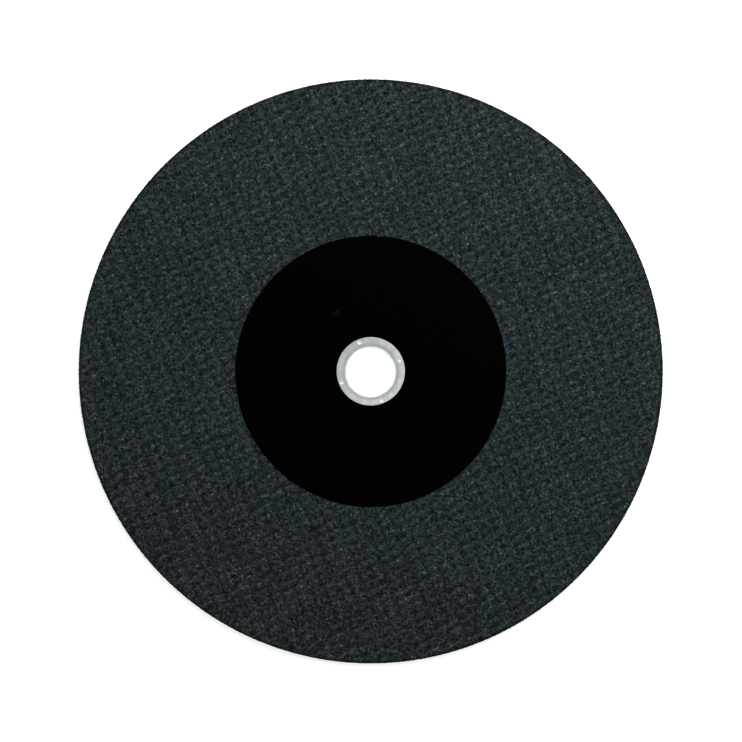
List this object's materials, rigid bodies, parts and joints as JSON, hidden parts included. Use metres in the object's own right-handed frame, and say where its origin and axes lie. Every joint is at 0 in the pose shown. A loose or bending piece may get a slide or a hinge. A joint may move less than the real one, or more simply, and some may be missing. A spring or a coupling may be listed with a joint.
{
  "type": "cut-off wheel",
  "caption": "Thin flat abrasive disc for cutting metal, with a round black paper label and a flanged metal ring lining its arbor hole.",
  "frame": {"origin": "on the bore axis, in the plane of the disc's back face", "axes": "+Z along the bore axis, out of the labelled face; the wheel lies flat on its back face"},
  "size_m": [0.3, 0.3, 0.0035],
  "materials": {
    "resin_abrasive": "matte",
    "label_paper": "matte",
    "ring_metal": "satin"
  },
  "bodies": {
    "root": {"abrasive_disc": "resin_abrasive", "centre_label": "label_paper", "arbor_ring": "ring_metal"}
  },
  "joints": []
}
